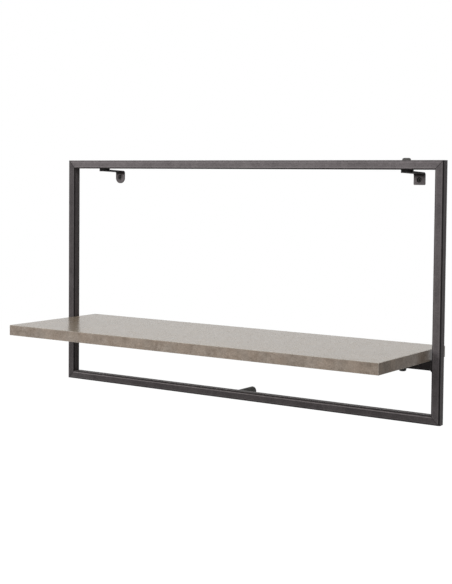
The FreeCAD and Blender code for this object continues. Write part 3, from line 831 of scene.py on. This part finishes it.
def wall_screw(shape, place, head, shank, recess, back):
    """A countersunk screw with a cross recess, its head's face at place, turned towards -Y.

    Its end lies at the distance back behind that face, where the wall takes it in.
    """
    made = bmesh.ops.create_circle(shape, cap_ends=False, segments=SCREW_SIDES, radius=head / 2)
    rim = [edge for edge in shape.edges if edge.verts[0] in made["verts"]]
    slot_edges = cross_outline(shape, recess / 2, recess * RECESS_ARM)
    bmesh.ops.triangle_fill(shape, use_beauty=True, use_dissolve=False, edges=rim + slot_edges)
    floor, floor_edges = extrude_edges(shape, slot_edges)
    bmesh.ops.translate(shape, verts=floor, vec=(0, 0, -RECESS_DEPTH * recess))
    bmesh.ops.scale(shape, verts=floor, vec=(RECESS_FLOOR, RECESS_FLOOR, 1))
    bmesh.ops.contextual_create(shape, geom=floor_edges)
    outline = rim
    radius = head / 2
    depth = 0.0
    cone_end = SCREW_RIM + (head - shank) / 2
    for wanted, down in ((head / 2, SCREW_RIM), (shank / 2, cone_end), (shank / 2, back)):
        ring, outline = extrude_edges(shape, outline)
        bmesh.ops.scale(shape, verts=ring, vec=(wanted / radius, wanted / radius, 1))
        bmesh.ops.translate(shape, verts=ring, vec=(0, 0, depth - down))
        radius = wanted
        depth = down
    bmesh.ops.contextual_create(shape, geom=outline)
    turn = Matrix.Translation(place) @ Matrix.Rotation(math.radians(90), 4, "X")
    bmesh.ops.transform(shape, matrix=turn, verts=shape.verts)
    finish_mesh(shape)


def cross_outline(shape, arm, half):
    """The edges of a cross, with arms of that length and half width."""
    cross = [(arm, -half), (arm, half), (half, half), (half, arm), (-half, arm), (-half, half),
             (-arm, half), (-arm, -half), (-half, -half), (-half, -arm), (half, -arm),
             (half, -half)]
    points = [shape.verts.new((across, up, 0)) for across, up in cross]
    return [shape.edges.new(pair) for pair in zip(points, points[1:] + points[:1])]


def extrude_edges(shape, edges):
    """Extrude a closed outline, and return its new vertices and its new outline."""
    grown = bmesh.ops.extrude_edge_only(shape, edges=edges)
    ring = only(bmesh.types.BMVert, grown)
    return ring, [edge for edge in only(bmesh.types.BMEdge, grown)
                  if all(vertex in ring for vertex in edge.verts)]


# Operators, one for each piece or group of like pieces

# The rounding of the edge bands' trimmed edges, in metres
BAND_EDGE_ROUND = 0.0002

# How far the painted shade of a wall screw's recess reaches from its axis, as a share of its width
RECESS_SHADE_REACH = 0.55

# How far a wall screw's end stays off the wall plane, in metres
SCREW_END_GAP = 0.0001


class SHELF_OT_frame_tubes(Operator):
    """Finish the frame's tubes and the shelf's support rail"""
    bl_idname = "shelf.frame_tubes"
    bl_label = "Frame Tubes"

    def execute(self, context):
        settings = context.scene.shelf_frame
        # The tubes' tones are painted light and shade on copies of one coat
        tones = {"top_rail": settings.top_rail_painted_light,
                 "bottom_rail": settings.bottom_rail_painted_light,
                 "left_upright": settings.left_upright_painted_light,
                 "right_upright": settings.right_upright_painted_light,
                 "shelf_support_rail": settings.support_painted_shade}
        for tube, tone in tones.items():
            # The bottom rail gets a painted highlight by its upper corners
            top_highlight = tube == "bottom_rail"
            dress([tube], coated_steel(settings, f"{tube}_coat", tone, tube, top_highlight))
        return {"FINISHED"}


class SHELF_OT_mitre_seams(Operator):
    """Set the ground mitre welds a little under the tubes' faces"""
    bl_idname = "shelf.mitre_seams"
    bl_label = "Mitre Seams"

    def execute(self, context):
        settings = context.scene.shelf_frame
        material = coated_steel(settings, "ground_weld_coat", settings.seam_tone)
        piece = new_piece("mitre_seams", joined_copy("corner_welds"), material,
                          ["corner_welds"])
        shrink = piece.modifiers.new("ground back", "DISPLACE")
        shrink.mid_level = 0.0
        shrink.strength = -settings.seam_depth
        return {"FINISHED"}


class SHELF_OT_weld_beads(Operator):
    """Lay the rippled weld beads of the support rail"""
    bl_idname = "shelf.weld_beads"
    bl_label = "Weld Beads"

    def execute(self, context):
        settings = context.scene.shelf_frame
        low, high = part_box("support_rail_welds")
        leg = high.z - low.z
        shape = bmesh.new()
        for x, over in ((low.x, 1.0), (high.x, -1.0)):
            fillet_bead(shape, Vector((x, low.y, high.z)), Vector((x, high.y, high.z)),
                        Vector((over, 0, 0)), Vector((0, 0, -1)), leg, settings.ripple_length)
        new_piece("support_rail_beads", shape, coated_steel(settings, "weld_bead_coat"),
                  ["support_rail_welds"])
        return {"FINISHED"}


class SHELF_OT_wall_brackets(Operator):
    """Round the wall brackets' cut edges and coat them"""
    bl_idname = "shelf.wall_brackets"
    bl_label = "Wall Brackets"

    def execute(self, context):
        settings = context.scene.shelf_frame
        material = bracket_steel(settings, "bracket_coat")
        for name in (*WALL_BRACKETS, "bracket_packing_plates"):
            piece = new_piece(f"{name}_finished", joined_copy(name), material,
                              [name])
            round_edges(piece, settings.edge_round)
        return {"FINISHED"}


class SHELF_OT_board(Operator):
    """Face the board with laminate above and below, over its particle board core"""
    bl_idname = "shelf.board"
    bl_label = "Board"

    def execute(self, context):
        settings = context.scene.shelf_board
        faces = laminate(settings, "laminate", patch=1.8 * settings.patch_size, contrast=0.45,
                         tint=(1.02, 0.99, 0.895), gloss=0.36)
        dress(["board_top_laminate", "board_bottom_laminate"], faces)
        dress(["board_core"], particle_board())
        return {"FINISHED"}


class SHELF_OT_edge_bands(Operator):
    """Band the board's four edges"""
    bl_idname = "shelf.edge_bands"
    bl_label = "Edge Bands"

    def execute(self, context):
        settings = context.scene.shelf_board
        material = laminate(settings, "edge_band_laminate", patch=1.5 * settings.patch_size,
                            contrast=1.3, tint=(1.20, 1.185, 1.18), gloss=0.12, trimmed=True)
        for name in EDGE_BANDS:
            piece = new_piece(f"{name}_finished", joined_copy(name), material,
                              [name])
            round_edges(piece, BAND_EDGE_ROUND)
        return {"FINISHED"}


class SHELF_OT_board_fixings(Operator):
    """Blacken the board bolts and washers, and plate the threaded inserts"""
    bl_idname = "shelf.board_fixings"
    bl_label = "Board Fixings"

    def execute(self, context):
        settings = context.scene.shelf_fixings
        dress(["board_bolts", "board_bolt_washers"], black_steel(settings, "black_bolt_steel"))
        dress(["board_threaded_inserts"],
              plain_steel("insert_zinc", settings.zinc_colour, roughness=(0.3, 0.45),
                          mark_size=0.0005))
        return {"FINISHED"}


class SHELF_OT_bracket_fixings(Operator):
    """Finish the two fixings of the upper brackets"""
    bl_idname = "shelf.bracket_fixings"
    bl_label = "Bracket Fixings"

    def execute(self, context):
        settings = context.scene.shelf_fixings
        dress(["left_bracket_screw"], black_steel(settings, "black_screw_steel"))
        dress(["right_bracket_bolt"],
              plain_steel("dome_bolt_zinc", settings.zinc_colour, roughness=(0.4, 0.55),
                          mark_size=0.0006))
        return {"FINISHED"}


class SHELF_OT_bottom_spacer(Operator):
    """Finish the rubber spacer behind the bottom rail and its screw"""
    bl_idname = "shelf.bottom_spacer"
    bl_label = "Bottom Spacer"

    def execute(self, context):
        settings = context.scene.shelf_fixings
        dress(["bottom_spacer"], dull_rubber(settings.rubber_colour))
        dress(["bottom_spacer_screw"], black_steel(settings, "spacer_screw_steel"))
        return {"FINISHED"}


class SHELF_OT_wall_screws(Operator):
    """Put a countersunk screw in each bracket's wall hole"""
    bl_idname = "shelf.wall_screws"
    bl_label = "Wall Screws"

    def execute(self, context):
        settings = context.scene.shelf_fixings
        material = plain_steel("wall_screw_steel", settings.screw_colour, roughness=(0.4, 0.6),
                               mark_size=0.0005, recess=settings.recess_width * RECESS_SHADE_REACH)
        sunk = settings.tab_thickness - settings.wall_screw_depth
        hole_z = wall_hole()[1]
        for name in WALL_BRACKETS:
            low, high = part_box(name)
            face = Vector(((low.x + high.x) / 2, high.y - sunk, hole_z))
            shape = bmesh.new()
            wall_screw(shape, face, settings.wall_screw_head, settings.wall_screw_shank,
                       settings.recess_width, sunk - SCREW_END_GAP)
            new_piece(f"{name.replace('_bracket', '')}_screw", shape, material)
        return {"FINISHED"}


# The stage. Each light has a name, a place and a width in metres, and the setting of its power.
LIGHTS = (
    ("key_light", (-0.85, -2.1, 0.45), 1.0, "key_power"),
    ("left_light", (-1.3, -1.7, 0.6), 1.0, "left_power"),
    ("upper_light", (0.2, -0.65, 0.85), 0.6, "upper_power"),
    ("side_light", (2.0, -0.9, 0.1), 1.2, "side_power"),
    ("back_light", (-1.0, 1.9, 0.1), 1.2, "back_power"),
)

WHITE = (1, 1, 1, 1)

# The strength of the floor's glow, which brings it up to white where it is seen
FLOOR_GLOW = 0.94

# Half the floor's width, in metres
FLOOR_REACH = 8

# The sensor's width in millimetres that the focal length is given for
SENSOR_WIDTH = 36


class SHELF_OT_stage(Operator):
    """Lay the floor, and set the lights and the camera"""
    bl_idname = "shelf.stage"
    bl_label = "Stage"

    def execute(self, context):
        settings = context.scene.shelf_stage
        lay_floor(settings)
        light_room(context.scene, settings)
        middle = (CAD_BOX[0] + CAD_BOX[1]) / 2
        for name, place, width, power in LIGHTS:
            add_light(name, place, middle, width, getattr(settings, power))
        set_camera(context.scene, settings)
        context.scene.view_settings.view_transform = "Standard"
        return {"FINISHED"}


def seen_directly(tree):
    """1 for the rays that show a thing itself or its mirror image, 0 for its light."""
    path = add(tree, "ShaderNodeLightPath")
    seen = maths(tree, "MAXIMUM", path.outputs["Is Camera Ray"], path.outputs["Is Glossy Ray"])
    return maths(tree, "MAXIMUM", seen, path.outputs["Is Transmission Ray"])


def lay_floor(settings):
    """A pale floor that shows white and still takes the shelf's shadow."""
    shape = bmesh.new()
    bmesh.ops.create_grid(shape, x_segments=1, y_segments=1, size=FLOOR_REACH,
                          matrix=Matrix.Translation((0, 0, settings.floor_height)))
    mesh = bpy.data.meshes.new("floor")
    shape.to_mesh(mesh)
    shape.free()
    floor = bpy.data.objects.new("floor", mesh)
    bpy.context.scene.collection.objects.link(floor)
    material = bpy.data.materials.new("floor")
    material.use_nodes = True
    tree = material.node_tree
    tree.nodes.clear()
    pale = add(tree, "ShaderNodeBsdfDiffuse", {"Color": (*settings.floor_colour, 1.0)})
    glow = add(tree, "ShaderNodeEmission", {"Color": WHITE, "Strength": FLOOR_GLOW})
    white = add(tree, "ShaderNodeAddShader", {0: pale.outputs["BSDF"], 1: glow.outputs[0]})
    shown = add(tree, "ShaderNodeMixShader", {0: seen_directly(tree), 1: pale.outputs["BSDF"],
                                              2: white.outputs[0]})
    add(tree, "ShaderNodeOutputMaterial", {"Surface": shown.outputs[0]})
    mesh.materials.append(material)


def light_room(scene, settings):
    """An even room light, seen as plain white."""
    world = bpy.data.worlds.new("studio")
    world.use_nodes = True
    tree = world.node_tree
    tree.nodes.clear()
    strength = spread(tree, seen_directly(tree), 0.0, 1.0, settings.room_light, 1.0)
    background = add(tree, "ShaderNodeBackground", {"Color": WHITE, "Strength": strength})
    add(tree, "ShaderNodeOutputWorld", {"Surface": background.outputs[0]})
    scene.world = world


def add_light(name, place, target, width, power):
    """A square soft light at place, turned to its target and not mirrored in the shelf."""
    lamp = bpy.data.lights.new(name, "AREA")
    lamp.shape = "SQUARE"
    lamp.size = width
    lamp.energy = power
    light = bpy.data.objects.new(name, lamp)
    bpy.context.scene.collection.objects.link(light)
    light.visible_camera = False
    light.visible_glossy = False
    light.location = place
    light.rotation_euler = (target - Vector(place)).to_track_quat("-Z", "Y").to_euler()


def set_camera(scene, settings):
    """A camera turned by pan, tilt and roll from looking straight at the wall."""
    lens = bpy.data.cameras.new("camera")
    lens.sensor_width = SENSOR_WIDTH
    lens.lens = settings.focal_length
    lens.shift_x = settings.shift_across
    lens.shift_y = settings.shift_up
    camera = bpy.data.objects.new("camera", lens)
    scene.collection.objects.link(camera)
    level = Matrix.Rotation(math.radians(90), 4, "X")
    camera.matrix_world = (Matrix.Translation(settings.camera_place)
                           @ Matrix.Rotation(settings.pan, 4, "Z")
                           @ level
                           @ Matrix.Rotation(-settings.tilt, 4, "X")
                           @ Matrix.Rotation(settings.roll, 4, "Z"))
    scene.camera = camera


PIECE_OPERATORS = (
    SHELF_OT_frame_tubes, SHELF_OT_mitre_seams, SHELF_OT_weld_beads, SHELF_OT_wall_brackets,
    SHELF_OT_board, SHELF_OT_edge_bands, SHELF_OT_board_fixings, SHELF_OT_bracket_fixings,
    SHELF_OT_bottom_spacer, SHELF_OT_wall_screws, SHELF_OT_stage,
)

SETTINGS = {
    "shelf_frame": FrameSettings,
    "shelf_board": BoardSettings,
    "shelf_fixings": FixingSettings,
    "shelf_stage": StageSettings,
}


class SHELF_PT_panel(Panel):
    """The wall shelf's sizes, colours and pieces"""
    bl_label = "Wall Shelf"
    bl_idname = "SHELF_PT_panel"
    bl_space_type = "VIEW_3D"
    bl_region_type = "UI"
    bl_category = "Wall Shelf"

    def draw(self, context):
        for group in SETTINGS:
            box = self.layout.box()
            settings = getattr(context.scene, group)
            box.label(text=settings.bl_rna.description)
            for name in settings.__annotations__:
                box.prop(settings, name)
        for operator in PIECE_OPERATORS:
            self.layout.operator(operator.bl_idname)


def register():
    for group, settings in SETTINGS.items():
        bpy.utils.register_class(settings)
        setattr(bpy.types.Scene, group, PointerProperty(type=settings))
    for operator in PIECE_OPERATORS:
        bpy.utils.register_class(operator)
    bpy.utils.register_class(SHELF_PT_panel)


def unregister():
    bpy.utils.unregister_class(SHELF_PT_panel)
    for operator in reversed(PIECE_OPERATORS):
        bpy.utils.unregister_class(operator)
    for group, settings in reversed(SETTINGS.items()):
        delattr(bpy.types.Scene, group)
        bpy.utils.unregister_class(settings)


def main():
    """Build the shelf's finishes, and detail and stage."""
    register()
    for operator in PIECE_OPERATORS:
        family, name = operator.bl_idname.split(".")
        getattr(getattr(bpy.ops, family), name)()
    bpy.context.view_layer.update()


if __name__ == "__main__":
    main()
